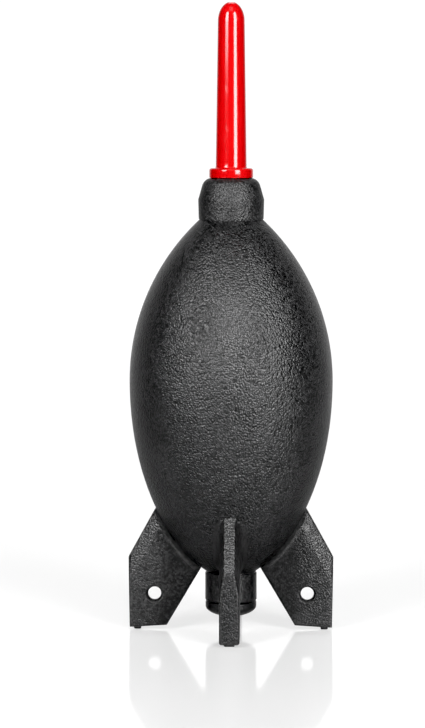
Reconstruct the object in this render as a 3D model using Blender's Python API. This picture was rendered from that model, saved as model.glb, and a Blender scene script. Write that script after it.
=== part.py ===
"""Rocket-shaped dust blower: a hollow rubber bulb on four fins, a slim nozzle and an air inlet valve.

The frame has +Z up along the bulb's axis, -Y towards the front fin, and its origin on that axis
at the level of the foot pads. Sizes are in millimetres, and each mesh is made in metres.
"""

import math

import bmesh
import bpy
from mathutils import Matrix, Vector

MM = 0.001
GAP = 0.3
JOIN_DISTANCE = 0.0001
CUTTER_OVERRUN = 0.5
SHARP_ANGLE = 30.0

# Rubber bulb: its widest circle, the curves above and below it, and its wall
BULB_RADIUS = 30.73
EQUATOR_Z = 76.0
SHOULDER_ARC = 67.0
WALL = 2.6
COLLAR_RADIUS = 7.75
COLLAR_TOP_Z = 17.7
COLLAR_BOTTOM_Z = 8.3
COLLAR_BORE = 5.4
TAIL_BULGE = 31.15
TAIL_SLOPE = (11.79, 11.43)
CURVE_STEPS = 11
BULB_SEGMENTS = 48

# Neck, which holds the nozzle
NECK_FOOT_Z = 124.6
NECK_FOOT_RADIUS = 9.7
NECK_FOOT_LEDGE = 0.5
NECK_WAIST_Z = 130.2
NECK_WAIST_RADIUS = 9.86
NECK_TOP_Z = 137.5
NECK_TOP_RADIUS = 8.2
NECK_RIM_ROUND = 2.2
NECK_BORE = 5.0

# Side walls that a hand presses in: a rounded rectangle seen along X
GRIP_HALF_WIDTH = 15.0
GRIP_BOTTOM_Z = 50.0
GRIP_TOP_Z = 102.0
GRIP_CORNER = 9.0
GRIP_REACH = (12.0, 40.0)

# Fins: outline in radius and height, and the plate's thickness
FIN_THICKNESS = 6.1
FIN_ROOT_TOP = (22.9, 37.3)
FIN_CORNER = (31.2, 22.2)
FIN_HEEL = (30.85, 0.75)
FIN_TOE = (19.5, 1.45)
FIN_ROOT_BOTTOM = (9.4, 18.5)
FIN_OVERRUN = 0.13
FIN_EDGE_THICKNESS = 3.2
FIN_EDGE_BEVEL = 3.6
FIN_OUTER_CHAMFER = (1.4, 0.4)
FIN_HOLE_CENTRE = (23.3, 10.9)
FIN_HOLE_RADIUS = 2.6
FIN_HOLE_WAIST = 2.0
FIN_HOLE_SEGMENTS = 24
FOOT_CENTRE = 28.5
FOOT_SIZE = (2.2, 3.2, 1.2)
FIN_ANGLES = {"fin_front": -90.0, "fin_right": 0.0, "fin_back": 90.0, "fin_left": 180.0}

# Nozzle: a tapered tube with a flange that sits on the neck and a barbed stem inside it
NOZZLE_TOP_Z = 190.0
NOZZLE_TIP_RADIUS = 4.03
NOZZLE_TIP_HEIGHT = 5.6
NOZZLE_TIP_STEPS = 8
NOZZLE_BASE_RADIUS = 4.66
NOZZLE_OUTLET = 0.9
NOZZLE_BORE = 1.7
FLANGE_RADIUS = 6.62
FLANGE_TOP_Z = 140.4
FLANGE_BOTTOM_Z = NECK_TOP_Z + GAP
FLANGE_ROUND = 0.7
STEM_RADIUS = 4.2
STEM_END_Z = 124.0
BARB_RADIUS = NECK_BORE - GAP
BARB_HEIGHT = 2.4
BARB_COUNT = 3
NOZZLE_SEGMENTS = 40

# Inlet valve: a plug in the collar, a flap that lifts off its seat, and a retainer above it
PLUG_HEAD_RADIUS = COLLAR_RADIUS
PLUG_HEAD_TOP_Z = COLLAR_BOTTOM_Z - GAP
PLUG_HEAD_BAND_Z = 6.7
PLUG_DOME_Z = 4.4
PLUG_DOME_STEPS = 5
PLUG_RADIUS = COLLAR_BORE - GAP
PLUG_TOP_Z = 21.8
PLUG_LIP_RADIUS = 6.0
PLUG_LIP_Z = 20.2
INLET_RADIUS = 2.0
SEAT_Z = 11.5
CHAMBER_RADIUS = 3.9
FLAP_RADIUS = 3.4
FLAP_THICKNESS = 0.8
CAGE_RADIUS = CHAMBER_RADIUS - GAP
CAGE_BOTTOM_Z = 14.6
CAGE_THICKNESS = 1.6
CAGE_VENTS = 4
CAGE_VENT_RADIUS = 0.8
CAGE_VENT_CIRCLE = 2.0
CAGE_VENT_SEGMENTS = 12
VALVE_SEGMENTS = 32

RUBBER = ((0.030, 0.030, 0.032), 0.62)
VALVE_RUBBER = ((0.022, 0.022, 0.024), 0.50)
RED_PLASTIC = ((0.72, 0.010, 0.012), 0.14)
CLEAR_SILICONE = ((0.55, 0.55, 0.53), 0.40)


def clear_scene():
    for old in list(bpy.data.objects):
        bpy.data.objects.remove(old, do_unlink=True)


def make_material(name, colour, roughness):
    material = bpy.data.materials.new(name)
    material.use_nodes = True
    shader = material.node_tree.nodes["Principled BSDF"]
    shader.inputs["Base Color"].default_value = (*colour, 1.0)
    shader.inputs["Roughness"].default_value = roughness
    shader.inputs["Metallic"].default_value = 0.0
    material.diffuse_color = (*colour, 1.0)
    return material


# ---------- outlines, as lists of (radius, height) ----------


def bezier(p0, p1, p2, p3, steps):
    """Points along a cubic curve, both ends included."""
    points = []
    for i in range(steps + 1):
        t = i / steps
        weights = ((1 - t) ** 3, 3 * t * (1 - t) ** 2, 3 * t * t * (1 - t), t**3)
        corners = (p0, p1, p2, p3)
        points.append(tuple(sum(w * p[k] for w, p in zip(weights, corners)) for k in (0, 1)))
    return points


def offset_inward(points, distance):
    """The points moved by a distance to the left of the way they run."""
    moved = []
    for i, point in enumerate(points):
        before = Vector(points[max(i - 1, 0)])
        after = Vector(points[min(i + 1, len(points) - 1)])
        along = (after - before).normalized()
        moved.append((point[0] - along.y * distance, point[1] + along.x * distance))
    return moved


def round_corner(before, corner, after, radius, steps=4):
    """An arc of the given radius in place of a corner."""
    corner = Vector(corner)
    way_in = (Vector(before) - corner).normalized()
    way_out = (Vector(after) - corner).normalized()
    half_angle = way_in.angle(way_out) / 2
    middle = corner + (way_in + way_out).normalized() * radius / math.sin(half_angle)
    start = corner + way_in * radius / math.tan(half_angle) - middle
    end = corner + way_out * radius / math.tan(half_angle) - middle
    turn = start.angle_signed(end)
    points = []
    for i in range(steps + 1):
        spoke = start.copy()
        spoke.rotate(Matrix.Rotation(-turn * i / steps, 2))
        points.append(tuple(middle + spoke))
    return points


def tail_curve():
    """The bulb's outside from the collar up to its widest circle."""
    widest = (BULB_RADIUS, EQUATOR_Z)
    end = (COLLAR_RADIUS, COLLAR_TOP_Z)
    near_end = (end[0] + TAIL_SLOPE[0], end[1] + TAIL_SLOPE[1])
    return bezier(end, near_end, (BULB_RADIUS, EQUATOR_Z - TAIL_BULGE), widest, CURVE_STEPS)


def shoulder_curve(arc_radius, top_radius):
    """An arc from the bulb's widest circle up to where it has narrowed to top_radius."""
    centre = BULB_RADIUS - SHOULDER_ARC
    last = math.acos((top_radius - centre) / arc_radius)
    angles = [last * i / CURVE_STEPS for i in range(CURVE_STEPS + 1)]
    return [(centre + arc_radius * math.cos(a), EQUATOR_Z + arc_radius * math.sin(a)) for a in angles]


def neck_curve():
    """The neck's outside, from its foot up to the flat rim."""
    rim_corner = (NECK_TOP_RADIUS, NECK_TOP_Z)
    waist = (NECK_WAIST_RADIUS, NECK_WAIST_Z)
    rim = round_corner(waist, rim_corner, (NECK_BORE, NECK_TOP_Z), NECK_RIM_ROUND)
    return [(NECK_FOOT_RADIUS, NECK_FOOT_Z), waist] + rim


def bulb_outside():
    """The rubber's outside from the collar's lower end to the neck's rim."""
    shoulder = shoulder_curve(SHOULDER_ARC, NECK_FOOT_RADIUS + NECK_FOOT_LEDGE)
    return [(COLLAR_RADIUS, COLLAR_BOTTOM_Z)] + tail_curve() + shoulder[1:] + neck_curve()


def bulb_inside():
    """The air chamber's wall from the collar's bore up to the neck's bore."""
    tail = [p for p in offset_inward(tail_curve(), WALL) if p[0] > COLLAR_BORE]
    shoulder = shoulder_curve(SHOULDER_ARC - WALL, NECK_BORE)
    return [(COLLAR_BORE, COLLAR_BOTTOM_Z), (COLLAR_BORE, tail[0][1])] + tail + shoulder[1:]


def nozzle_outline():
    tip_base_z = NOZZLE_TOP_Z - NOZZLE_TIP_HEIGHT
    start = math.acos(NOZZLE_OUTLET / NOZZLE_TIP_RADIUS)
    tip = []
    for i in range(NOZZLE_TIP_STEPS + 1):
        angle = start * (1 - i / NOZZLE_TIP_STEPS)
        height = tip_base_z + NOZZLE_TIP_HEIGHT * math.sin(angle) / math.sin(start)
        tip.append((NOZZLE_TIP_RADIUS * math.cos(angle), height))
    base = (NOZZLE_BASE_RADIUS, FLANGE_TOP_Z)
    flange_top = (FLANGE_RADIUS, FLANGE_TOP_Z)
    flange_bottom = (FLANGE_RADIUS, FLANGE_BOTTOM_Z)
    flange = round_corner(base, flange_top, flange_bottom, FLANGE_ROUND) + [flange_bottom]
    barb_tops = [STEM_END_Z + BARB_HEIGHT * (i + 1) for i in reversed(range(BARB_COUNT))]
    stem = [(STEM_RADIUS, FLANGE_BOTTOM_Z)]
    for top in barb_tops:
        stem += [(STEM_RADIUS, top), (BARB_RADIUS, top)]
    stem.append((STEM_RADIUS, STEM_END_Z))
    bore = [(NOZZLE_BORE, STEM_END_Z), (NOZZLE_BORE, FLANGE_TOP_Z)]
    return tip + [base] + flange + stem + bore


def plug_outline():
    drop = PLUG_HEAD_BAND_Z - PLUG_DOME_Z
    start = math.asin(INLET_RADIUS / PLUG_HEAD_RADIUS)
    dome = []
    for i in range(PLUG_DOME_STEPS + 1):
        angle = start + (math.pi / 2 - start) * i / PLUG_DOME_STEPS
        dome.append((PLUG_HEAD_RADIUS * math.sin(angle), PLUG_HEAD_BAND_Z - drop * math.cos(angle)))
    head = [(PLUG_HEAD_RADIUS, PLUG_HEAD_TOP_Z), (PLUG_RADIUS, PLUG_HEAD_TOP_Z)]
    lip = [(PLUG_RADIUS, PLUG_LIP_Z), (PLUG_LIP_RADIUS, PLUG_LIP_Z), (PLUG_RADIUS, PLUG_TOP_Z)]
    chamber = [(CHAMBER_RADIUS, PLUG_TOP_Z), (CHAMBER_RADIUS, SEAT_Z), (INLET_RADIUS, SEAT_Z)]
    return dome + head + lip + chamber


# ---------- solids ----------


def finish_object(name, mesh_data, material=None):
    """Makes an object from a bmesh in millimetres. Without a material it is only a cutter."""
    bmesh.ops.scale(mesh_data, vec=(MM, MM, MM), verts=mesh_data.verts)
    bmesh.ops.recalc_face_normals(mesh_data, faces=mesh_data.faces)
    mesh = bpy.data.meshes.new(name)
    mesh_data.to_mesh(mesh)
    mesh_data.free()
    mesh.shade_smooth()
    mesh.set_sharp_from_angle(angle=math.radians(SHARP_ANGLE))
    made = bpy.data.objects.new(name, mesh)
    bpy.context.scene.collection.objects.link(made)
    if material:
        mesh.materials.append(material)
    else:
        made.hide_render = True
        made.display_type = "WIRE"
    return made


def spin_outline(outline, segments):
    """A closed solid turned about Z from a closed outline of (radius, height)."""
    solid = bmesh.new()
    ring = [solid.verts.new((radius, 0.0, height)) for radius, height in outline]
    edges = [solid.edges.new((ring[i - 1], ring[i])) for i in range(len(ring))]
    bmesh.ops.spin(
        solid,
        geom=ring + edges,
        cent=(0, 0, 0),
        axis=(0, 0, 1),
        angle=math.tau,
        steps=segments,
        use_merge=True,
    )
    bmesh.ops.remove_doubles(solid, verts=solid.verts, dist=JOIN_DISTANCE)
    loose = [edge for edge in solid.edges if not edge.link_faces]
    bmesh.ops.delete(solid, geom=loose, context="EDGES")
    return solid


def extrude_outline(corners, way):
    """A prism from a flat outline of 3-D corners, pushed along a vector."""
    solid = bmesh.new()
    face = solid.faces.new([solid.verts.new(corner) for corner in corners])
    pushed = bmesh.ops.extrude_face_region(solid, geom=[face])["geom"]
    verts = [item for item in pushed if isinstance(item, bmesh.types.BMVert)]
    bmesh.ops.translate(solid, vec=way, verts=verts)
    return solid


def slice_off(solid, point, normal):
    """Cuts away what lies beyond a plane, and closes the cut."""
    everything = solid.verts[:] + solid.edges[:] + solid.faces[:]
    cut = bmesh.ops.bisect_plane(
        solid, geom=everything, plane_co=point, plane_no=normal, clear_outer=True
    )
    rim = [item for item in cut["geom_cut"] if isinstance(item, bmesh.types.BMEdge)]
    bmesh.ops.holes_fill(solid, edges=rim)


def combine(target, other, operation):
    """Adds an exact Boolean of another object, which follows the target if it is a cutter."""
    modifier = target.modifiers.new(f"{operation.lower()}_{other.name}", "BOOLEAN")
    modifier.operation = operation
    modifier.solver = "EXACT"
    modifier.object = other


# ---------- the rubber bulb ----------


def grip_prism(name, side, grow):
    """The space along X that a side wall fills, grown by a margin. side is +1 or -1."""
    half = GRIP_HALF_WIDTH + grow
    low = GRIP_BOTTOM_Z - grow
    high = GRIP_TOP_Z + grow
    frame = [(-half, low), (half, low), (half, high), (-half, high)]
    corners = []
    for i, corner in enumerate(frame):
        corners += round_corner(frame[i - 1], corner, frame[(i + 1) % 4], GRIP_CORNER + grow)
    near, far = GRIP_REACH
    outline = [(side * near, y, z) for y, z in corners]
    return finish_object(name, extrude_outline(outline, (side * (far - near), 0, 0)))


def make_bulb(rubber):
    """The hollow bulb with its neck and collar, and its two side walls as pieces that move."""
    outline = bulb_outside() + list(reversed(bulb_inside()))
    shell = finish_object("bulb_shell", spin_outline(outline, BULB_SEGMENTS), rubber)
    walls = []
    for name, side in (("grip_wall_right", 1), ("grip_wall_left", -1)):
        wall = finish_object(name, spin_outline(outline, BULB_SEGMENTS), rubber)
        combine(wall, grip_prism(f"{name}_space", side, 0.0), "INTERSECT")
        combine(shell, grip_prism(f"{name}_window", side, GAP), "DIFFERENCE")
        walls.append(wall)
    return shell, walls


def make_fins(rubber):
    """Four fins with foot pads and a lanyard hole each, cut to the bulb with a small gap."""
    around = [(0.0, COLLAR_BOTTOM_Z)] + offset_inward(bulb_outside(), -GAP) + [(0.0, NECK_TOP_Z)]
    envelope = finish_object("bulb_envelope", spin_outline(around, BULB_SEGMENTS))
    hole_half = FIN_THICKNESS / 2 + CUTTER_OVERRUN
    hole_flare = FIN_HOLE_WAIST + (FIN_HOLE_RADIUS - FIN_HOLE_WAIST) * hole_half * 2 / FIN_THICKNESS
    hole = [(0.0, -hole_half), (hole_flare, -hole_half), (FIN_HOLE_WAIST, 0.0)]
    hole += [(hole_flare, hole_half), (0.0, hole_half)]
    for name, angle in FIN_ANGLES.items():
        pivot = bpy.data.objects.new(f"{name}_pivot", None)
        bpy.context.scene.collection.objects.link(pivot)
        pivot.rotation_euler.z = math.radians(angle)
        fin = finish_object(name, fin_plate(), rubber)
        cutter = finish_object(f"{name}_hole", spin_outline(hole, FIN_HOLE_SEGMENTS))
        cutter.rotation_euler.x = math.pi / 2
        cutter.location = (FIN_HOLE_CENTRE[0] * MM, 0.0, FIN_HOLE_CENTRE[1] * MM)
        foot = finish_object(f"{name}_foot", foot_pad())
        for piece in (fin, cutter, foot):
            piece.parent = pivot
        combine(fin, envelope, "DIFFERENCE")
        combine(fin, cutter, "DIFFERENCE")
        combine(fin, foot, "UNION")


def fin_plate():
    """A fin along +X: a plate thinned towards its leading edge and chamfered down its outer edge."""
    half = FIN_THICKNESS / 2
    root_top, corner = Vector(FIN_ROOT_TOP), Vector(FIN_CORNER)
    toe, root_bottom = Vector(FIN_TOE), Vector(FIN_ROOT_BOTTOM)
    leading = (root_top - corner).normalized()
    high = root_top + (root_top - corner) * FIN_OVERRUN
    low = root_bottom + (root_bottom - toe) * FIN_OVERRUN
    outline = [high, FIN_CORNER, FIN_HEEL, FIN_TOE, low]
    solid = extrude_outline([(r, -half, z) for r, z in outline], (0, FIN_THICKNESS, 0))
    outward = Vector((leading.y, -leading.x))
    thinning = (FIN_THICKNESS - FIN_EDGE_THICKNESS) / 2
    reach, depth = FIN_OUTER_CHAMFER
    for side in (-1, 1):
        on_edge = (corner.x, side * FIN_EDGE_THICKNESS / 2, corner.y)
        bevel = (outward.x * thinning, side * FIN_EDGE_BEVEL, outward.y * thinning)
        slice_off(solid, on_edge, bevel)
        slice_off(solid, (FIN_HEEL[0], side * (half - depth), FIN_HEEL[1]), (depth, side * reach, 0))
    return solid


def foot_pad():
    """The small pad under a fin that the blower stands on."""
    length, width, height = FOOT_SIZE
    low = FOOT_CENTRE - length / 2
    high = FOOT_CENTRE + length / 2
    base = [(low, -width / 2, 0), (high, -width / 2, 0), (high, width / 2, 0), (low, width / 2, 0)]
    return extrude_outline(base, (0, 0, height))


# ---------- nozzle and valve ----------


def make_nozzle(plastic):
    finish_object("nozzle", spin_outline(nozzle_outline(), NOZZLE_SEGMENTS), plastic)


def make_valve(housing_rubber, silicone):
    """The inlet valve, from the plug that is pushed into the collar to the retainer inside it."""
    finish_object("valve_housing", spin_outline(plug_outline(), VALVE_SEGMENTS), housing_rubber)
    flap_bottom = SEAT_Z + GAP
    flap_top = flap_bottom + FLAP_THICKNESS
    flap = [(0.0, flap_bottom), (FLAP_RADIUS, flap_bottom), (FLAP_RADIUS, flap_top), (0.0, flap_top)]
    finish_object("valve_flap", spin_outline(flap, VALVE_SEGMENTS), silicone)
    cage_top = CAGE_BOTTOM_Z + CAGE_THICKNESS
    disc = [(0.0, CAGE_BOTTOM_Z), (CAGE_RADIUS, CAGE_BOTTOM_Z), (CAGE_RADIUS, cage_top), (0.0, cage_top)]
    cage = finish_object("valve_cage", spin_outline(disc, VALVE_SEGMENTS), housing_rubber)
    low, high = CAGE_BOTTOM_Z - CUTTER_OVERRUN, cage_top + CUTTER_OVERRUN
    vent = [(0.0, low), (CAGE_VENT_RADIUS, low), (CAGE_VENT_RADIUS, high), (0.0, high)]
    for i in range(CAGE_VENTS):
        angle = math.tau * (i + 0.5) / CAGE_VENTS
        cutter = finish_object(f"cage_vent_{i + 1}", spin_outline(vent, CAGE_VENT_SEGMENTS))
        cutter.location.x = CAGE_VENT_CIRCLE * math.cos(angle) * MM
        cutter.location.y = CAGE_VENT_CIRCLE * math.sin(angle) * MM
        combine(cage, cutter, "DIFFERENCE")


def main():
    clear_scene()
    rubber = make_material("bulb_rubber", *RUBBER)
    valve_rubber = make_material("valve_rubber", *VALVE_RUBBER)
    red_plastic = make_material("red_plastic", *RED_PLASTIC)
    silicone = make_material("flap_silicone", *CLEAR_SILICONE)
    make_bulb(rubber)
    make_fins(rubber)
    make_nozzle(red_plastic)
    make_valve(valve_rubber, silicone)


main()
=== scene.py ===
"""Looks of the dust blower: textured black rubber, a polished red nozzle, and a white studio.

The CAD frame is in metres. Outlines here are in millimetres, as (radius, height), and each mesh
is scaled to metres when it is made.
"""

import math

import bmesh
import bpy
import numpy as np
from mathutils import Matrix, Vector


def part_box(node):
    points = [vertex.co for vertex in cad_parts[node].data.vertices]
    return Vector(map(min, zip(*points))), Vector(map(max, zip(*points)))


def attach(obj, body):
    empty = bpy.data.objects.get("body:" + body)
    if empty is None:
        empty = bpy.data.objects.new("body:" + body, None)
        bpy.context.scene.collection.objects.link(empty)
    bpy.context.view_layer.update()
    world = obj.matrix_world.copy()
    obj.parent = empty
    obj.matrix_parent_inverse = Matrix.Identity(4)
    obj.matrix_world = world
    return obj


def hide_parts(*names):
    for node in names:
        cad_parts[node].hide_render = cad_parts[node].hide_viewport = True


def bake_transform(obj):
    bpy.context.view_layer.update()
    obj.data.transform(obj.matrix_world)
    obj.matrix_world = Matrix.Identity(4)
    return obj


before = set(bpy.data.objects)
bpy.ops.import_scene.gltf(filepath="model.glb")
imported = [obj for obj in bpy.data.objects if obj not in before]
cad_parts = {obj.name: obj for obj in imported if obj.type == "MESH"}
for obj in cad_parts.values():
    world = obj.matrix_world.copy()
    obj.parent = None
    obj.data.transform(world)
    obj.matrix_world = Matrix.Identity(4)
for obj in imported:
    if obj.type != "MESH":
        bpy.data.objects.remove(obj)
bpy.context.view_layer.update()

MM = 0.001
JOIN_DISTANCE = 1e-5


def node_box(node):
    """Lowest and highest corners of a CAD node, in millimetres."""
    low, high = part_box(node)
    return Vector(low) / MM, Vector(high) / MM


SHELL_LOW, SHELL_HIGH = node_box("bulb_shell")
NOZZLE_LOW, NOZZLE_HIGH = node_box("nozzle")
_, PLUG_HIGH = node_box("valve_housing")
FIN_LOW, FIN_HIGH = node_box("fin_right")

# Rubber bulb
BULB_RADIUS = SHELL_HIGH.y
EQUATOR_Z = 76.0
SHOULDER_ARC = 67.0
WALL = 2.6
COLLAR_BOTTOM_Z = SHELL_LOW.z + 0.6
COLLAR_TOP_Z = 18.45
COLLAR_RADIUS = 7.75
COLLAR_BORE = 5.4
COLLAR_ROUNDS = (0.2, 0.35, 0.15, 0.15, 0.15, 0.12)
GROOVE_TOP_Z = COLLAR_TOP_Z - 0.25
GROOVE_DEPTH = 0.45
GROOVE_HEIGHT = 0.75
GROOVE_SLOPE = 0.2
TAIL_BULGE = 31.15
TAIL_SLOPE = (9.6, 6.6)
TAIL_END = (8.5, 18.6)
NECK_FOOT_Z = 124.6
NECK_FOOT_RADIUS = 9.7
NECK_FOOT_GROOVE = (0.15, 0.25)
NECK_WAIST_Z = 130.95
NECK_WAIST_RADIUS = 9.86
NECK_WAIST_ROUND = 1.2
NECK_TOP_Z = SHELL_HIGH.z
NECK_TOP_RADIUS = 8.0
NECK_RIM_ROUND = 3.2
NECK_BORE = 5.0
NECK_BORE_ROUND = 0.3

# The mould's parting line, and the angles of the mesh on either side of it
PARTING_HEIGHT = 0.09
PARTING_WIDTH = 0.22
PARTING_CLEAR_RADIUS = 6.5
PARTING_DEGREES = [0.0, 0.2, 0.4, 0.7, 1.1, 1.8, 3.0] + list(np.linspace(4.8, 90.0, 46))
SEAM_CAP_NORMAL = 0.999
SEAM_WIDTH = 1e-6

# Fins
FIN_HALF = (FIN_HIGH.y - FIN_LOW.y) / 2
FIN_ROOT_TOP = Vector((22.9, 37.3))
FIN_CORNER = Vector((FIN_HIGH.x, 22.2))
FIN_HEEL = Vector((30.85, 0.75))
FIN_TOE = Vector((19.5, 1.45))
FIN_ROOT_BOTTOM = Vector((9.8, 18.5))
FIN_EDGE_HALF = 1.65
FIN_BEVEL = 3.6
FIN_BEVEL_SOFT = 0.12
FIN_FILLET = 2.2
FIN_ROUND = 0.4
FIN_OUTER_ROUND = (1.3, 0.45)
FIN_HOLE_CENTRE = (23.3, 10.9)
FIN_HOLE_RADIUS = 2.6
FIN_HOLE_WAIST = 2.0
FIN_HOLE_LIP = 0.12
FIN_HOLE_WELL = (2.5, 1.1)
FIN_HOLE_WEB = 0.45
FIN_HOLE_REACH = FIN_HALF + 0.5
FOOT_CENTRE = 28.5
FOOT_SIZE = (2.2, 3.2, 1.2)
FOOT_ROUND = 0.35
FIN_ANGLES = {"front": -90.0, "right": 0.0, "back": 90.0, "left": 180.0}

# Nozzle
NOZZLE_TOP_Z = NOZZLE_HIGH.z
NOZZLE_TIP_RADIUS = 4.03
NOZZLE_TIP_HEIGHT = 5.6
NOZZLE_BASE_RADIUS = 4.66
NOZZLE_OUTLET = 0.9
NOZZLE_OUTLET_LIP = ((0.08, 0.2), (0.05, 0.06))
NOZZLE_BASE_ROUND = 0.45
NOZZLE_BORE = 1.7
FLANGE_RADIUS = NOZZLE_HIGH.x
FLANGE_TOP_Z = 140.4
FLANGE_BOTTOM_Z = NECK_TOP_Z + 0.03
FLANGE_TOP_ROUND = 0.75
FLANGE_BOTTOM_ROUND = 0.2
STEM_RADIUS = 4.2
STEM_END_Z = NOZZLE_LOW.z
BARB_RADIUS = 4.7
BARB_HEIGHT = 2.4
BARB_EDGE = 0.1
BARB_COUNT = 3

# Valve plug
PLUG_RADIUS = 5.1
PLUG_HEAD_RADIUS = PLUG_HIGH.x
PLUG_HEAD_TOP_Z = 8.6
PLUG_BAND_Z = 7.2
PLUG_DOME_Z = 4.0
PLUG_HEAD_ROUND = 0.3
PLUG_LIP_RADIUS = 6.0
PLUG_LIP_Z = 20.2
PLUG_LIP_EDGE = 0.2
PLUG_TOP_Z = PLUG_HIGH.z
INLET_RADIUS = 2.0
INLET_LIP = ((0.0, 0.3), (0.08, 0.08))
CHAMBER_RADIUS = 3.9
SEAT_Z = 11.5

TURNED_SEGMENTS = 112

# Rubber: grain sizes as texture scales per metre, and grain depths in millimetres. A pair of
# limits is where the grain starts and ends to change, as a height or a radius, and the number
# after it is how strong the grain is before the first.
PEBBLE_SCALE = 1650.0
GRAIN_BEND_SCALE = 650.0
GRAIN_BEND = 0.0004
CLUMP_SCALE = 420.0
CLUMP_SHARE = 0.10
SPECK_SCALE = 2300.0
SPECK_SHARE = 0.42
PATCH_SCALE = 70.0
BULB_GRAIN_DEPTH = 0.20
FIN_GRAIN_DEPTH = 0.18
PLUG_GRAIN_DEPTH = 0.12
FIN_FOOT_GRAIN = ((8.0, 27.0), 0.8)
FIN_ROOT_GRAIN = ((16.0, 25.0), 0.25)
BELLY_GRAIN = ((46.0, 68.0), 1.6)
COLLAR_GRAIN = ((18.0, 24.0), 0.22)
NECK_GRAIN = ((126.0, 122.5), 0.75)
NECK_DULLER = 0.55
TONE_SHADE_SHARE = 0.5
TONE_PATCH_SHARE = 0.5
TONE_SPECK_SHARE = 0.5
# Painted shade: how much darker the tone is in the hollows between the pebbles
PEBBLE_HOLLOW_SHADE_SHARE = -0.4
TONE_RANGE = (0.3, 0.9)
POLISH_SHADE_SHARE = 0.5
POLISH_RANGE = (0.4, 2.1)
RUBBER_ROUGHNESS = (0.28, 0.62)
RUBBER_DARK = (0.003, 0.003, 0.0031, 1.0)
RUBBER_LIGHT = (0.030, 0.030, 0.0308, 1.0)
PLUG_DARK = (0.006, 0.006, 0.0062, 1.0)
PLUG_LIGHT = (0.015, 0.015, 0.0154, 1.0)
FIN_DARK = (0.005, 0.005, 0.0051, 1.0)
FIN_LIGHT = (0.024, 0.024, 0.0246, 1.0)
RED_IOR = 1.54
RED_DEEP = (0.41, 0.005, 0.006, 1.0)
RED_BRIGHT = (0.48, 0.008, 0.009, 1.0)
RED_WAVE_SCALE = 260.0
RED_WAVE_STRETCH = (1.0, 1.0, 0.2)
RED_SCUFF_SCALE = 2600.0
RED_SCUFF_SHARE = 0.08
RED_WAVE_DEPTH = 0.012
RED_DULL_SCALE = 420.0
RED_DULL_RANGE = (0.5, 0.75)
RED_ROUGHNESS = (0.09, 0.2)

# Silicone
SILICONE_CLOUD_SCALE = 900.0
SILICONE_CLOUD_RANGE = (0.3, 0.7)
SILICONE_DARK = (0.50, 0.50, 0.47, 1.0)
SILICONE_LIGHT = (0.68, 0.68, 0.66, 1.0)
SILICONE_ROUGHNESS = (0.32, 0.46)
SILICONE_GRAIN_SCALE = 4000.0
SILICONE_GRAIN_DEPTH = 0.02
SILICONE_SCATTER = 0.2
SILICONE_SCATTER_LENGTH = 0.002

# Studio, in metres and degrees: a softbox is its azimuth, its bottom's height and its lower fade
WHITE = (1.0, 1.0, 1.0, 1.0)
FLOOR_WHITE = (0.42, 0.42, 0.42, 1.0)
FLOOR_BOUNCE = (0.36, 0.36, 0.36, 1.0)
FLOOR_GLOW = 0.45
FLOOR_GLOSS = 0.5
FLOOR_ROUGHNESS = 0.08
FLOOR_FADE = (0.35, 0.75)
FLOOR_RADIUS = 0.85
FLOOR_DROP = -0.00005
ROOM_LIGHT = 0.03
WALL_EDGE = (0.55, 0.95)
WALL_LIGHT = 0.8
BACKGROUND_LIGHT = 1.05
SOFTBOX_DISTANCE = 1.0
SOFTBOX_SIZE = (0.48, 1.05)
SOFTBOX_EDGE = 0.15
SOFTBOX_LIGHT = 17.0
SOFTBOX_LEFT = (-37.0, 0.205, 0.065)
SOFTBOX_RIGHT = (35.0, 0.08, 0.05)
OVERHEAD_PLACE = (0.0, -0.45, 0.95)
BACK_PLACE = (0.0, 0.55, 0.9)
OVERHEAD_SIZE = 0.45
OVERHEAD_WATTS = 0.75
BACK_WATTS = 2.0

# Camera, in metres and degrees
CAMERA_DISTANCE = 0.82
CAMERA_HEIGHT = 0.1565
CAMERA_SHIFT = -0.00563
CAMERA_AZIMUTH = 1.36
CAMERA_PITCH = 5.25
CAMERA_LENS = 134.3
CAMERA_SENSOR = 36.0
BLACK_LEVEL = 0.012


# ---------- outlines ----------


def bezier(p0, p1, p2, p3, steps):
    """Points along a cubic curve, both ends included."""
    t = np.linspace(0.0, 1.0, steps + 1)[:, None]
    p0, p1, p2, p3 = (np.array(p, float) for p in (p0, p1, p2, p3))
    curve = (1 - t) ** 3 * p0 + 3 * t * (1 - t) ** 2 * p1 + 3 * t * t * (1 - t) * p2 + t**3 * p3
    return [tuple(point) for point in curve]


def offset_left(points, distance):
    """The points moved to the left of the way they run."""
    points = np.array(points, float)
    along = np.gradient(points, axis=0)
    along /= np.linalg.norm(along, axis=1)[:, None]
    moved = points + distance * np.column_stack((-along[:, 1], along[:, 0]))
    return [tuple(point) for point in moved]


def round_corner(before, corner, after, radius, steps=6):
    """An arc of the given radius in place of a corner."""
    corner = Vector(corner)
    way_in = (Vector(before) - corner).normalized()
    way_out = (Vector(after) - corner).normalized()
    half_angle = way_in.angle(way_out) / 2
    middle = corner + (way_in + way_out).normalized() * radius / math.sin(half_angle)
    start = corner + way_in * radius / math.tan(half_angle) - middle
    end = corner + way_out * radius / math.tan(half_angle) - middle
    turn = start.angle_signed(end)
    points = []
    for i in range(steps + 1):
        spoke = start.copy()
        spoke.rotate(Matrix.Rotation(-turn * i / steps, 2))
        points.append(tuple(middle + spoke))
    return points


def round_corners(corners, radii):
    """A closed outline with its corners rounded. A radius of 0 keeps a corner sharp."""
    points = []
    for i, (corner, radius) in enumerate(zip(corners, radii)):
        if radius:
            points += round_corner(corners[i - 1], corner, corners[(i + 1) % len(corners)], radius)
        else:
            points.append(tuple(corner))
    return points


def straight(start, end, steps):
    """Points between two corners, without the corners themselves."""
    start, end = Vector(start), Vector(end)
    return [tuple(start.lerp(end, i / steps)) for i in range(1, steps)]


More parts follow.
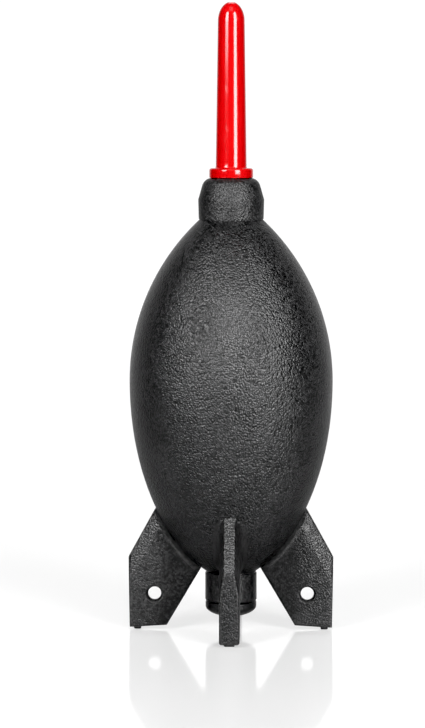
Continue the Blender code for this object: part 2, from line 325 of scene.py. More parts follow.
def tail_curve(steps=44):
    """The bulb's outside from the collar up to its widest circle."""
    near_end = (TAIL_END[0] + TAIL_SLOPE[0], TAIL_END[1] + TAIL_SLOPE[1])
    return bezier(TAIL_END, near_end, (BULB_RADIUS, EQUATOR_Z - TAIL_BULGE), (BULB_RADIUS, EQUATOR_Z), steps)


def shoulder_curve(arc_radius, top_radius, steps=40):
    """An arc from the bulb's widest circle up to where it has narrowed to top_radius."""
    centre = BULB_RADIUS - SHOULDER_ARC
    last = math.acos((top_radius - centre) / arc_radius)
    angles = np.linspace(0.0, last, steps + 1)
    return [(centre + arc_radius * math.cos(a), EQUATOR_Z + arc_radius * math.sin(a)) for a in angles]


def rubber_outline():
    """The closed outline of the rubber bulb's wall: up the outside, and down the inside."""
    groove_depth, groove_height = NECK_FOOT_GROOVE
    shoulder = shoulder_curve(SHOULDER_ARC, NECK_FOOT_RADIUS - groove_depth)
    foot_groove = (NECK_FOOT_RADIUS - groove_depth, shoulder[-1][1] + groove_height)
    foot = (NECK_FOOT_RADIUS, foot_groove[1])
    waist = (NECK_WAIST_RADIUS, NECK_WAIST_Z)
    rim_corner = (NECK_TOP_RADIUS, NECK_TOP_Z)
    bore_top = (NECK_BORE, NECK_TOP_Z)
    groove_bottom = GROOVE_TOP_Z - GROOVE_HEIGHT
    inner = COLLAR_RADIUS - GROOVE_DEPTH
    collar = [
        (COLLAR_BORE, COLLAR_BOTTOM_Z),
        (COLLAR_RADIUS, COLLAR_BOTTOM_Z),
        (COLLAR_RADIUS, groove_bottom),
        (inner, groove_bottom + GROOVE_SLOPE),
        (inner, GROOVE_TOP_Z),
        (COLLAR_RADIUS, GROOVE_TOP_Z),
    ]
    outline = round_corners(collar, COLLAR_ROUNDS)
    outline += tail_curve() + shoulder[1:] + [foot_groove, foot]
    outline += straight(foot, waist, 6)
    outline += round_corner(foot, waist, rim_corner, NECK_WAIST_ROUND)
    rim = round_corner(waist, rim_corner, bore_top, NECK_RIM_ROUND, 10)
    outline += straight(waist, rim[0], 6) + rim
    outline += round_corner(rim_corner, bore_top, (NECK_BORE, EQUATOR_Z), NECK_BORE_ROUND)
    inside = [p for p in offset_left(tail_curve(24), WALL) if p[0] > COLLAR_BORE]
    inside += shoulder_curve(SHOULDER_ARC - WALL, NECK_BORE, 20)[1:]
    return outline + list(reversed(inside))


def nozzle_outline():
    """The nozzle's closed outline, from its outlet down the outside to the stem, and back up the bore."""
    tip_base_z = NOZZLE_TOP_Z - NOZZLE_TIP_HEIGHT
    start = math.acos(NOZZLE_OUTLET / NOZZLE_TIP_RADIUS)
    angles = np.linspace(start, 0.0, 25)
    rise = NOZZLE_TIP_HEIGHT / math.sin(start)
    tip = [(NOZZLE_TIP_RADIUS * math.cos(a), tip_base_z + rise * math.sin(a)) for a in angles]
    lip = [(NOZZLE_OUTLET - narrower, NOZZLE_TOP_Z - lower) for narrower, lower in NOZZLE_OUTLET_LIP]
    base = (NOZZLE_BASE_RADIUS, FLANGE_TOP_Z)
    flange_top = (FLANGE_RADIUS, FLANGE_TOP_Z)
    flange_bottom = (FLANGE_RADIUS, FLANGE_BOTTOM_Z)
    stem_top = (STEM_RADIUS, FLANGE_BOTTOM_Z)
    outline = lip + tip
    outline += straight(tip[-1], base, 24)
    outline += round_corner(tip[-1], base, flange_top, NOZZLE_BASE_ROUND)
    outline += round_corner(base, flange_top, flange_bottom, FLANGE_TOP_ROUND, 10)
    outline += round_corner(flange_top, flange_bottom, stem_top, FLANGE_BOTTOM_ROUND)
    outline.append(stem_top)
    for i in reversed(range(BARB_COUNT)):
        top = STEM_END_Z + BARB_HEIGHT * (i + 1)
        outline += [(STEM_RADIUS, top), (BARB_RADIUS - BARB_EDGE, top), (BARB_RADIUS, top - BARB_EDGE)]
    outline += [(STEM_RADIUS, STEM_END_Z), (NOZZLE_BORE, STEM_END_Z), (NOZZLE_BORE, FLANGE_TOP_Z)]
    return outline


def plug_outline():
    """The valve plug, from the inlet hole round its domed head to the seat inside."""
    drop = PLUG_BAND_Z - PLUG_DOME_Z
    start = math.asin(INLET_RADIUS / PLUG_HEAD_RADIUS)
    angles = np.linspace(start, math.pi / 2, 24)
    dome = [(PLUG_HEAD_RADIUS * math.sin(a), PLUG_BAND_Z - drop * math.cos(a)) for a in angles]
    lip = [(INLET_RADIUS + wider, dome[0][1] + higher) for wider, higher in INLET_LIP]
    head_top = (PLUG_HEAD_RADIUS, PLUG_HEAD_TOP_Z)
    under_head = (PLUG_RADIUS, PLUG_HEAD_TOP_Z)
    outline = lip + dome[1:]
    outline += round_corner(dome[-1], head_top, under_head, PLUG_HEAD_ROUND)
    outline += [under_head, (PLUG_RADIUS, PLUG_LIP_Z), (PLUG_LIP_RADIUS, PLUG_LIP_Z)]
    outline += [(PLUG_LIP_RADIUS, PLUG_LIP_Z + PLUG_LIP_EDGE), (PLUG_RADIUS, PLUG_TOP_Z)]
    outline += [(CHAMBER_RADIUS, PLUG_TOP_Z), (CHAMBER_RADIUS, SEAT_Z), (INLET_RADIUS, SEAT_Z)]
    return outline


# ---------- meshes ----------


def add_piece(name, mesh, material, sharp=35.0):
    """Makes an object of a mesh in millimetres, smooth apart from its sharp edges."""
    mesh.transform(Matrix.Scale(MM, 4))
    mesh.shade_smooth()
    mesh.set_sharp_from_angle(angle=math.radians(sharp))
    mesh.materials.append(material)
    piece = bpy.data.objects.new(name, mesh)
    bpy.context.scene.collection.objects.link(piece)
    return piece


def turned_mesh(name, outline, angles):
    """A mesh swept round Z from a closed outline. A full turn closes on itself, a part turn is capped."""
    outline = np.array(outline, float)
    full = math.isclose(angles[-1] - angles[0], math.tau)
    rings = len(angles) - 1 if full else len(angles)
    count = len(outline)
    points = []
    for angle in angles[:rings]:
        radius, height = outline.T
        points.append(np.column_stack((radius * math.cos(angle), radius * math.sin(angle), height)))
    faces = []
    for i in range(len(angles) - 1):
        here, there = i * count, ((i + 1) % rings) * count
        for j in range(count):
            k = (j + 1) % count
            faces.append((here + j, there + j, there + k, here + k))
    if not full:
        last = (rings - 1) * count
        faces.append(tuple(range(count)))
        faces.append(tuple(last + j for j in reversed(range(count))))
    mesh = bpy.data.meshes.new(name)
    mesh.from_pydata([tuple(p) for p in np.concatenate(points)], [], faces)
    face_out(mesh)
    return mesh


def face_out(mesh):
    """Joins the points that meet on the axis, and turns the faces outward."""
    solid = bmesh.new()
    solid.from_mesh(mesh)
    bmesh.ops.remove_doubles(solid, verts=solid.verts, dist=JOIN_DISTANCE)
    loose = [edge for edge in solid.edges if not edge.link_faces]
    bmesh.ops.delete(solid, geom=loose, context="EDGES")
    bmesh.ops.recalc_face_normals(solid, faces=solid.faces)
    solid.to_mesh(mesh)
    solid.free()


def full_turn(steps):
    return list(np.linspace(0.0, math.tau, steps + 1))


def half_turn():
    """Angles of half a turn about +X, closer together where the mould's parting line runs."""
    return [math.radians(a) for a in [-d for d in reversed(PARTING_DEGREES[1:])] + PARTING_DEGREES]


def add_parting_line(mesh, clear_radius):
    """Raises the fine ridge that the mould leaves down both sides, outside a radius for each height."""
    for vertex in mesh.vertices:
        radius = math.hypot(vertex.co.x, vertex.co.y)
        if radius > clear_radius(vertex.co.z):
            rise = PARTING_HEIGHT * math.exp(-((vertex.co.y / PARTING_WIDTH) ** 2))
            vertex.co.x *= 1 + rise / radius
            vertex.co.y *= 1 + rise / radius


def match_seam_normals(mesh):
    """Turns the normals along the two halves' seam into the seam's plane, so that it doesn't show."""
    normals = [Vector(corner.vector) for corner in mesh.corner_normals]
    for face in mesh.polygons:
        if abs(face.normal.x) > SEAM_CAP_NORMAL and face.loop_total > 4:
            continue
        for loop in face.loop_indices:
            point = mesh.vertices[mesh.loops[loop].vertex_index].co
            if abs(point.x) < SEAM_WIDTH:
                normals[loop].x = 0.0
                normals[loop].normalize()
    mesh.normals_split_custom_set([tuple(normal) for normal in normals])


def make_skin(material):
    """The rubber bulb in two halves, each in place of its side's grip wall."""
    outline = rubber_outline()
    outside = tail_curve() + shoulder_curve(SHOULDER_ARC, NECK_FOOT_RADIUS)
    outside = np.array(sorted(outside, key=lambda p: p[1]))

    def outer_radius(height):
        return np.interp(height, outside[:, 1], outside[:, 0])

    def clear_radius(height):
        on_bulb = COLLAR_TOP_Z < height < NECK_FOOT_Z
        return float(outer_radius(height)) - WALL / 2 if on_bulb else PARTING_CLEAR_RADIUS

    for side, turn, body in (("right", 0.0, "grip_right"), ("left", math.pi, "grip_left")):
        angles = [a + turn for a in half_turn()]
        mesh = turned_mesh(f"bulb_skin_{side}", outline, angles)
        add_parting_line(mesh, clear_radius)
        piece = add_piece(f"bulb_skin_{side}", mesh, material)
        match_seam_normals(piece.data)
        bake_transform(piece)
        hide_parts("bulb_shell", f"grip_wall_{side}")


# ---------- fins ----------


def outline_edge(start, end):
    """A straight edge of the fin's outline, as a point on it and the normal that points outward."""
    along = (end - start).normalized()
    return start, Vector((along.y, -along.x))


TRAILING = outline_edge(FIN_ROOT_BOTTOM, FIN_TOE)
BOTTOM = outline_edge(FIN_TOE, FIN_HEEL)
OUTER = outline_edge(FIN_HEEL, FIN_CORNER)
LEADING = outline_edge(FIN_CORNER, FIN_ROOT_TOP)

# How far in from each edge the grid's lines run, from the edge to where its rounding ends
LEADING_INSETS = (0.0, 0.03, 0.12, 0.25, 0.4, 0.8, 1.6, 2.4, 3.0, 3.3, 3.6, 4.1)
TRAILING_INSETS = (0.8, 0.4, 0.25, 0.12, 0.03, 0.0)
OUTER_INSETS = (2.2, 1.3, 1.0, 0.65, 0.35, 0.12, 0.0)
BOTTOM_INSETS = (1.0, 0.55, 0.4, 0.25, 0.12, 0.03, 0.0)
ROOT_DEPTH = -0.6
ROOT_TURNS = 6
PLAIN_ROWS = 16
COLUMNS_TO_HEEL = 12
COLUMNS_TO_TOE = 10
RIM_STEP = 0.25


def inset(edge, point):
    """How far inside an edge a point lies."""
    start, normal = edge
    return (start - Vector(point)).dot(normal)


def crossing(first, first_inset, second, second_inset):
    """Where two edges meet once each is moved inward by its inset."""
    sides = np.array([first[1], second[1]])
    reach = [first[1].dot(first[0]) - first_inset, second[1].dot(second[0]) - second_inset]
    return Vector(np.linalg.solve(sides, reach))


def rounded(distance, reach, depth):
    """How much lower a surface lies at a distance from an edge with an elliptical rounding."""
    share = 1 - min(max(distance / reach, 0.0), 1.0)
    return depth * (1 - math.sqrt(1 - share * share))


def half_thickness(point):
    """The fin plate's half thickness: thinner towards the leading edge, and rounded at each edge."""
    ramp = (inset(LEADING, point) - FIN_BEVEL) / FIN_BEVEL * (FIN_HALF - FIN_EDGE_HALF)
    half = FIN_HALF + (ramp - math.hypot(ramp, FIN_BEVEL_SOFT)) / 2
    half -= rounded(inset(LEADING, point), FIN_ROUND, FIN_ROUND)
    half -= rounded(inset(TRAILING, point), FIN_ROUND, FIN_ROUND)
    half -= rounded(inset(BOTTOM, point), FIN_ROUND, FIN_ROUND)
    return half - rounded(inset(OUTER, point), *FIN_OUTER_ROUND)


def root_row(away):
    """Places along the fin's root at a distance from the bulb, from the leading to the trailing edge."""
    curve = np.array(tail_curve(300))
    along = np.gradient(curve, axis=0)
    along /= np.linalg.norm(along, axis=1)[:, None]
    curve = curve + away * np.column_stack((along[:, 1], -along[:, 0]))
    places = np.arange(len(curve))
    from_leading = np.array([inset(LEADING, p) for p in curve])
    from_trailing = np.array([inset(TRAILING, p) for p in curve])
    upper = slice(len(curve) // 6, len(curve) * 2 // 3)
    lower = slice(0, len(curve) // 3)
    columns = list(np.interp([-d for d in LEADING_INSETS], -from_leading[upper], places[upper]))
    last = list(np.interp(TRAILING_INSETS, from_trailing[lower], places[lower]))
    plain = np.linspace(columns[-1], last[0], COLUMNS_TO_HEEL + COLUMNS_TO_TOE + 1)
    columns += list(plain[1:-1]) + last
    radii, heights = (np.interp(columns, places, curve[:, i]) for i in (0, 1))
    return [Vector(place) for place in zip(radii, heights)]


def rim_row(outer_inset, bottom_inset):
    """Places along the outer and the bottom edge, inset by so much from each."""
    columns = [crossing(LEADING, distance, OUTER, outer_inset) for distance in LEADING_INSETS]
    heel = crossing(OUTER, outer_inset, BOTTOM, bottom_inset)
    last = [crossing(BOTTOM, bottom_inset, TRAILING, distance) for distance in TRAILING_INSETS]
    upper = columns[-1]
    columns += [upper.lerp(heel, i / COLUMNS_TO_HEEL) for i in range(1, COLUMNS_TO_HEEL + 1)]
    columns += [heel.lerp(last[0], i / COLUMNS_TO_TOE) for i in range(1, COLUMNS_TO_TOE)]
    return columns + last


def root_share(place):
    """How much of the root's fillet a place takes: none at the fin's two ends."""
    near = min(inset(LEADING, place), inset(TRAILING, place)) / (2 * FIN_FILLET)
    share = min(max(near, 0.0), 1.0)
    return 1 - (1 - share) ** 2


def fin_rows():
    """The fin's side as rows of (radius, half thickness, height), from inside the bulb's wall outward."""
    rows = []
    turns = [math.pi / 2 * (1 - i / ROOT_TURNS) for i in range(ROOT_TURNS + 1)]
    flares = [(ROOT_DEPTH, FIN_FILLET)]
    flares += [(FIN_FILLET * (1 - math.sin(t)), FIN_FILLET * (1 - math.cos(t))) for t in turns]
    for away, flare in flares:
        row = []
        for place in root_row(away):
            half = half_thickness(place) + flare * root_share(place)
            row.append((math.sqrt(place.x**2 - half**2), half, place.y))
        rows.append(row)
    root = [Vector((radius, height)) for radius, half, height in rows[-1]]
    rims = [rim_row(o, b) for o, b in zip(OUTER_INSETS, BOTTOM_INSETS)]
    for i in range(1, PLAIN_ROWS):
        rows.append([a.lerp(b, i / PLAIN_ROWS) for a, b in zip(root, rims[0])])
    rows += rims
    return [[p if len(p) == 3 else (p.x, half_thickness(p), p.y) for p in row] for row in rows]


def fin_plate_mesh():
    """A closed fin plate: both sides, joined round their rim by strips."""
    rows = fin_rows()
    solid = bmesh.new()
    sides = [[[solid.verts.new((r, s * half, z)) for r, half, z in row] for row in rows] for s in (-1, 1)]
    last_row, last_column = len(rows) - 1, len(rows[0]) - 1
    for side in sides:
        for i in range(last_row):
            for j in range(last_column):
                solid.faces.new((side[i][j], side[i][j + 1], side[i + 1][j + 1], side[i + 1][j]))
    rim = [(i, 0) for i in range(last_row)] + [(last_row, j) for j in range(last_column)]
    rim += [(i, last_column) for i in range(last_row, 0, -1)] + [(0, j) for j in range(last_column, 0, -1)]
    strips = []
    for i, j in rim:
        r, half, z = rows[i][j]
        inner = [solid.verts.new((r, s * (half - RIM_STEP), z)) for s in (-1, 1)]
        strips.append((sides[0][i][j], *inner, sides[1][i][j]))
    for here, there in zip(strips, strips[1:] + strips[:1]):
        for k in range(3):
            solid.faces.new((here[k], here[k + 1], there[k + 1], there[k]))
    bmesh.ops.recalc_face_normals(solid, faces=solid.faces)
    mesh = bpy.data.meshes.new("fin_plate")
    solid.to_mesh(mesh)
    solid.free()
    return mesh


def hole_cutter():
    """The lanyard hole along Y: a well from each side with a rounded lip, down to a narrower web."""
    lip = []
    for turn in np.linspace(0.0, math.pi / 2, 6):
        radius = FIN_HOLE_RADIUS + FIN_HOLE_LIP * (1 - math.sin(turn))
        lip.append((radius, FIN_HALF - FIN_HOLE_LIP * (1 - math.cos(turn))))
    web = [FIN_HOLE_WELL, (FIN_HOLE_WAIST, FIN_HOLE_WEB)]
    half = [(0.0, FIN_HOLE_REACH), (lip[0][0], FIN_HOLE_REACH)] + lip + web
    outline = half + [(radius, -depth) for radius, depth in reversed(half)]
    mesh = turned_mesh("hole_cutter", outline, full_turn(48))
    mesh.transform(Matrix.Rotation(math.pi / 2, 4, "X"))
    mesh.transform(Matrix.Translation((FIN_HOLE_CENTRE[0], 0.0, FIN_HOLE_CENTRE[1])))
    return mesh


def foot_pad():
    """The small pad with rounded edges that a fin stands on."""
    length, width, height = FOOT_SIZE
    solid = bmesh.new()
    place = Matrix.Translation((FOOT_CENTRE, 0.0, height))
    place = place @ Matrix.Diagonal((length, width, 2 * height, 1.0))
    bmesh.ops.create_cube(solid, size=1.0, matrix=place)
    bmesh.ops.bevel(
        solid, geom=solid.edges[:], offset=FOOT_ROUND, segments=4, profile=0.5, affect="EDGES"
    )
    mesh = bpy.data.meshes.new("foot_pad")
    solid.to_mesh(mesh)
    solid.free()
    return mesh


def combined(mesh, other, operation):
    """The exact Boolean of two closed meshes, as a new mesh."""
    target, tool = (bpy.data.objects.new("solid", m) for m in (mesh, other))
    for made in (target, tool):
        bpy.context.scene.collection.objects.link(made)
    modifier = target.modifiers.new("combine", "BOOLEAN")
    modifier.operation = operation
    modifier.solver = "EXACT"
    modifier.object = tool
    graph = bpy.context.evaluated_depsgraph_get()
    result = bpy.data.meshes.new_from_object(target.evaluated_get(graph), depsgraph=graph)
    for made in (target, tool):
        bpy.data.objects.remove(made)
    result.materials.clear()
    return result


def make_fins(material):
    """Four fins, each blended into the bulb along its root, with a foot pad and a lanyard hole."""
    plate = combined(fin_plate_mesh(), hole_cutter(), "DIFFERENCE")
    plate = combined(plate, foot_pad(), "UNION")
    for side, degrees in FIN_ANGLES.items():
        mesh = plate.copy()
        mesh.transform(Matrix.Rotation(math.radians(degrees), 4, "Z"))
        piece = add_piece(f"moulded_fin_{side}", mesh, material)
        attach(piece, "bulb")
        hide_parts(f"fin_{side}")


# ---------- nozzle and valve ----------


def make_turned(name, outline, material, body, node):
    """A turned piece in place of its CAD node."""
    piece = add_piece(name, turned_mesh(name, outline, full_turn(TURNED_SEGMENTS)), material)
    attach(piece, body)
    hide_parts(node)


def refinish(node, material):
    """Gives a CAD node a better material."""
    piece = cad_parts[node]
    piece.data.materials.clear()
    piece.data.materials.append(material)
    for face in piece.data.polygons:
        face.material_index = 0


# ---------- materials ----------


def add_node(tree, kind, sockets=None, **settings):
    """Adds a node to a tree. A socket takes a number or a colour, or the output that feeds it."""
    node = tree.nodes.new(f"ShaderNode{kind}")
    for key, value in settings.items():
        setattr(node, key, value)
    for key, value in (sockets or {}).items():
        if isinstance(value, bpy.types.NodeSocket):
            tree.links.new(value, node.inputs[key])
        else:
            node.inputs[key].default_value = value
    return node


def new_material(name, roughness=0.5):
    """A material, its node tree and its shader."""
    material = bpy.data.materials.new(name)
    material.use_nodes = True
    shader = material.node_tree.nodes["Principled BSDF"]
    shader.inputs["Roughness"].default_value = roughness
    return material, material.node_tree, shader


def spread(tree, value, low, high, to_low, to_high):
    """A value eased from one range into another."""
    sockets = {"Value": value, "From Min": low, "From Max": high, "To Min": to_low, "To Max": to_high}
    return add_node(tree, "MapRange", sockets, interpolation_type="SMOOTHSTEP").outputs["Result"]


def sum_of(tree, first, second, share=1.0):
    """first plus a share of second."""
    return add_node(tree, "Math", {0: second, 1: share, 2: first}, operation="MULTIPLY_ADD").outputs[0]


def product_of(tree, first, second):
    return add_node(tree, "Math", {0: first, 1: second}, operation="MULTIPLY").outputs[0]


def mixed_colour(tree, share, first, second):
    """The first colour where the share is 0, and the second where it is 1."""
    return add_node(tree, "Mix", {0: share, 6: first, 7: second}, data_type="RGBA").outputs[2]


def noise(tree, place, scale, detail=2.0):
    return add_node(tree, "TexNoise", {"Vector": place, "Scale": scale, "Detail": detail}).outputs["Fac"]


def regrained(tree, height, place, limits, share):
    """The grain's height times a share before the first limit, which eases to 1 at the second."""
    return product_of(tree, height, spread(tree, place, limits[0] * MM, limits[1] * MM, share, 1.0))


def rubber_material(name, dark, light, depth, fin=False):
    """Moulded black rubber with a pebbled grain, lighter and darker pebbles, and painted shade that darkens
    the hollows between the pebbles.

    On a fin the grain fades towards the root and the foot. On the bulb it deepens down the belly
    and fades on the collar and the neck, and the neck is duller.
    """
    material, tree, shader = new_material(name)
    place = add_node(tree, "TexCoord").outputs["Object"]
    bend = add_node(tree, "TexNoise", {"Vector": place, "Scale": GRAIN_BEND_SCALE, "Detail": 2.0})
    shift = {0: bend.outputs["Color"], 1: (GRAIN_BEND,) * 3, 2: place}
    moved = add_node(tree, "VectorMath", shift, operation="MULTIPLY_ADD").outputs[0]
    cells = add_node(tree, "TexVoronoi", {"Vector": moved, "Scale": PEBBLE_SCALE}, feature="F1")
    pebbles = cells.outputs["Distance"]
    shade = add_node(tree, "SeparateColor", {0: cells.outputs["Color"]}).outputs[0]
    clumps = noise(tree, place, CLUMP_SCALE, 3.0)
    specks = noise(tree, place, SPECK_SCALE, 2.0)
    patches = noise(tree, place, PATCH_SCALE, 3.0)
    height = sum_of(tree, product_of(tree, pebbles, -1.0), clumps, CLUMP_SHARE)
    height = sum_of(tree, height, specks, SPECK_SHARE)
    level = add_node(tree, "SeparateXYZ", {0: place}).outputs["Z"]
    if fin:
        flat = add_node(tree, "VectorMath", {0: place, 1: (1.0, 1.0, 0.0)}, operation="MULTIPLY")
        radius = add_node(tree, "VectorMath", {0: flat.outputs[0]}, operation="LENGTH").outputs["Value"]
        height = regrained(tree, height, level, *FIN_FOOT_GRAIN)
        height = regrained(tree, height, radius, *FIN_ROOT_GRAIN)
    else:
        height = regrained(tree, height, level, *BELLY_GRAIN)
        height = regrained(tree, height, level, *COLLAR_GRAIN)
        height = regrained(tree, height, level, *NECK_GRAIN)
    bump = add_node(tree, "Bump", {"Height": height, "Distance": depth * MM, "Strength": 1.0})
    tree.links.new(bump.outputs["Normal"], shader.inputs["Normal"])
    tone = sum_of(tree, product_of(tree, shade, TONE_SHADE_SHARE), patches, TONE_PATCH_SHARE)
    # The pebbles' distance darkens the tone towards each pebble's edge: painted shade in the hollows of the
    # grain
    tone = sum_of(tree, sum_of(tree, tone, specks, TONE_SPECK_SHARE), pebbles, PEBBLE_HOLLOW_SHADE_SHARE)
    mix = mixed_colour(tree, spread(tree, tone, *TONE_RANGE, 0.0, 1.0), dark, light)
    tree.links.new(mix, shader.inputs["Base Color"])
    polish = sum_of(tree, patches, shade, POLISH_SHADE_SHARE)
    if not fin:
        neck_top, neck_foot = NECK_GRAIN[0]
        polish = sum_of(tree, polish, spread(tree, level, neck_foot * MM, neck_top * MM, 0.0, NECK_DULLER))
    rough = spread(tree, polish, *POLISH_RANGE, *RUBBER_ROUGHNESS)
    tree.links.new(rough, shader.inputs["Roughness"])
    return material


def red_plastic_material():
    """Polished red plastic with the faint flow waves and dulled patches of a moulded tube."""
    material, tree, shader = new_material("polished_red_plastic")
    shader.inputs["IOR"].default_value = RED_IOR
    place = add_node(tree, "TexCoord").outputs["Object"]
    along = add_node(tree, "Mapping", {"Vector": place, "Scale": RED_WAVE_STRETCH}).outputs["Vector"]
    waves = noise(tree, along, RED_WAVE_SCALE, 2.0)
    scuffs = noise(tree, place, RED_SCUFF_SCALE, 4.0)
    height = sum_of(tree, waves, scuffs, RED_SCUFF_SHARE)
    bump = add_node(tree, "Bump", {"Height": height, "Distance": RED_WAVE_DEPTH * MM})
    tree.links.new(bump.outputs["Normal"], shader.inputs["Normal"])
    dulled = spread(tree, noise(tree, place, RED_DULL_SCALE, 4.0), *RED_DULL_RANGE, *RED_ROUGHNESS)
    tree.links.new(dulled, shader.inputs["Roughness"])
    tree.links.new(mixed_colour(tree, waves, RED_DEEP, RED_BRIGHT), shader.inputs["Base Color"])
    return material


def silicone_material():
    """Milky silicone with a fine cloudiness."""
    material, tree, shader = new_material("milky_silicone")
    place = add_node(tree, "TexCoord").outputs["Object"]
    cloud = noise(tree, place, SILICONE_CLOUD_SCALE, 3.0)
    tone = mixed_colour(tree, cloud, SILICONE_DARK, SILICONE_LIGHT)
    tree.links.new(tone, shader.inputs["Base Color"])
    rough = spread(tree, cloud, *SILICONE_CLOUD_RANGE, *SILICONE_ROUGHNESS)
    tree.links.new(rough, shader.inputs["Roughness"])
    grain = noise(tree, place, SILICONE_GRAIN_SCALE)
    bump = add_node(tree, "Bump", {"Height": grain, "Distance": SILICONE_GRAIN_DEPTH * MM})
    tree.links.new(bump.outputs["Normal"], shader.inputs["Normal"])
    shader.inputs["Subsurface Weight"].default_value = SILICONE_SCATTER
    shader.inputs["Subsurface Scale"].default_value = SILICONE_SCATTER_LENGTH
    return material


# ---------- studio ----------


def make_floor():
    """A glossy white floor that fades into the white background, and isn't there from underneath."""
    material, tree, shader = new_material("white_floor", FLOOR_ROUGHNESS)
    shader.inputs["Specular IOR Level"].default_value = FLOOR_GLOSS
    shader.inputs["Emission Color"].default_value = WHITE
    seen = add_node(tree, "LightPath").outputs["Is Camera Ray"]
    tree.links.new(mixed_colour(tree, seen, FLOOR_BOUNCE, FLOOR_WHITE), shader.inputs["Base Color"])
    tree.links.new(product_of(tree, seen, FLOOR_GLOW), shader.inputs["Emission Strength"])
    place = add_node(tree, "TexCoord").outputs["Object"]
    distance = add_node(tree, "VectorMath", {0: place}, operation="LENGTH").outputs["Value"]
    below = add_node(tree, "NewGeometry").outputs["Backfacing"]
    above = add_node(tree, "Math", {0: 1.0, 1: below}, operation="SUBTRACT").outputs[0]
    cover = product_of(tree, spread(tree, distance, *FLOOR_FADE, 1.0, 0.0), above)
    tree.links.new(cover, shader.inputs["Alpha"])
    disc = bmesh.new()
    bmesh.ops.create_circle(disc, cap_ends=True, radius=FLOOR_RADIUS, segments=96)
    mesh = bpy.data.meshes.new("floor")
    disc.to_mesh(mesh)
    disc.free()
    mesh.materials.append(material)
    floor = bpy.data.objects.new("floor", mesh)
    floor.location.z = FLOOR_DROP
    bpy.context.scene.collection.objects.link(floor)


def make_world():
    """A white background that lights the object from behind, and a dim room in front of it."""
    world = bpy.data.worlds.new("studio")
    world.use_nodes = True
    bpy.context.scene.world = world
    tree = world.node_tree
    direction = add_node(tree, "TexCoord").outputs["Generated"]
    way = add_node(tree, "SeparateXYZ", {0: direction}).outputs["Y"]
    room = spread(tree, way, *WALL_EDGE, ROOM_LIGHT, WALL_LIGHT)
    seen = add_node(tree, "LightPath").outputs["Is Camera Ray"]
    strength = add_node(tree, "Mix", {0: seen, 2: room, 3: BACKGROUND_LIGHT}).outputs[0]
    tree.links.new(strength, tree.nodes["Background"].inputs["Strength"])
    tree.nodes["Background"].inputs["Color"].default_value = WHITE


def make_softbox(name, azimuth, bottom, fade):
    """A tall white panel in front of the object, brightest within and soft along its edges."""
    width, top = SOFTBOX_SIZE
    material = bpy.data.materials.new(f"{name}_panel")
    material.use_nodes = True
    tree = material.node_tree
    tree.nodes.clear()
    place = add_node(tree, "SeparateXYZ", {0: add_node(tree, "TexCoord").outputs["Generated"]})
    sides = []
    for axis, first_edge in (("X", SOFTBOX_EDGE), ("Y", fade)):
        share = place.outputs[axis]
        near = spread(tree, share, 0.0, first_edge, 0.0, 1.0)
        sides.append(product_of(tree, near, spread(tree, share, 1 - SOFTBOX_EDGE, 1.0, 1.0, 0.0)))
    strength = product_of(tree, product_of(tree, *sides), SOFTBOX_LIGHT)
    glow = add_node(tree, "Emission", {"Color": WHITE, "Strength": strength})
    output = add_node(tree, "OutputMaterial")
    tree.links.new(glow.outputs[0], output.inputs["Surface"])
    height = top - bottom
    half = width / 2
    corners = [(-half, 0.0, 0.0), (half, 0.0, 0.0), (half, height, 0.0), (-half, height, 0.0)]
    mesh = bpy.data.meshes.new(name)
    mesh.from_pydata(corners, [], [(0, 1, 2, 3)])
    mesh.materials.append(material)
    panel = bpy.data.objects.new(name, mesh)
    turn = math.radians(azimuth)
    panel.location = (SOFTBOX_DISTANCE * math.sin(turn), -SOFTBOX_DISTANCE * math.cos(turn), bottom)
    panel.rotation_euler = (math.pi / 2, 0.0, turn)
    panel.visible_camera = False
    bpy.context.scene.collection.objects.link(panel)


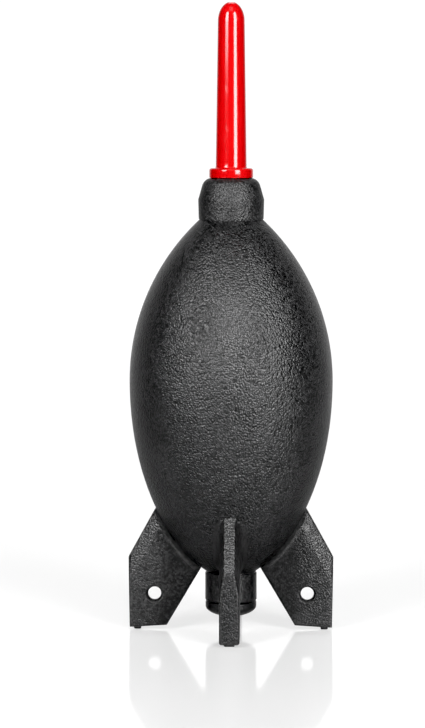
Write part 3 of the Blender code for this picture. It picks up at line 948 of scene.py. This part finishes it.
def make_overhead(name, place, watts):
    """A square softbox above the object, aimed at the middle of the bulb."""
    light = bpy.data.lights.new(name, "AREA")
    light.energy = watts
    light.size = OVERHEAD_SIZE
    lamp = bpy.data.objects.new(name, light)
    lamp.location = place
    aim = Vector((0.0, 0.0, EQUATOR_Z * MM)) - lamp.location
    lamp.rotation_euler = aim.to_track_quat("-Z", "Y").to_euler()
    lamp.visible_camera = False
    bpy.context.scene.collection.objects.link(lamp)


def make_camera():
    """A long lens in front of the object, tilted a little down, and the view's tone."""
    data = bpy.data.cameras.new("camera")
    data.lens = CAMERA_LENS
    data.sensor_width = CAMERA_SENSOR
    data.clip_start = 0.01
    camera = bpy.data.objects.new("camera", data)
    turn = math.radians(CAMERA_AZIMUTH)
    across = Vector((math.cos(turn), math.sin(turn), 0.0))
    back = Vector((math.sin(turn), -math.cos(turn), 0.0))
    place = back * CAMERA_DISTANCE + across * CAMERA_SHIFT
    camera.location = (place.x, place.y, CAMERA_HEIGHT)
    camera.rotation_euler = (math.radians(90.0 - CAMERA_PITCH), 0.0, turn)
    bpy.context.scene.collection.objects.link(camera)
    bpy.context.scene.camera = camera
    view = bpy.context.scene.view_settings
    view.view_transform = "Standard"
    view.use_curve_mapping = True
    view.curve_mapping.black_level = (BLACK_LEVEL,) * 3
    view.curve_mapping.update()


def main():
    make_camera()
    make_world()
    make_floor()
    make_softbox("softbox_left", *SOFTBOX_LEFT)
    make_softbox("softbox_right", *SOFTBOX_RIGHT)
    make_overhead("overhead_front", OVERHEAD_PLACE, OVERHEAD_WATTS)
    make_overhead("overhead_back", BACK_PLACE, BACK_WATTS)
    bulb_rubber = rubber_material("pebbled_rubber", RUBBER_DARK, RUBBER_LIGHT, BULB_GRAIN_DEPTH)
    fin_rubber = rubber_material("fin_rubber", FIN_DARK, FIN_LIGHT, FIN_GRAIN_DEPTH, fin=True)
    plug_rubber = rubber_material("plug_rubber", PLUG_DARK, PLUG_LIGHT, PLUG_GRAIN_DEPTH)
    red_plastic = red_plastic_material()
    silicone = silicone_material()
    make_skin(bulb_rubber)
    make_fins(fin_rubber)
    make_turned("red_nozzle", nozzle_outline(), red_plastic, "nozzle", "nozzle")
    make_turned("inlet_plug", plug_outline(), plug_rubber, "bulb", "valve_housing")
    refinish("valve_cage", plug_rubber)
    refinish("valve_flap", silicone)


main()
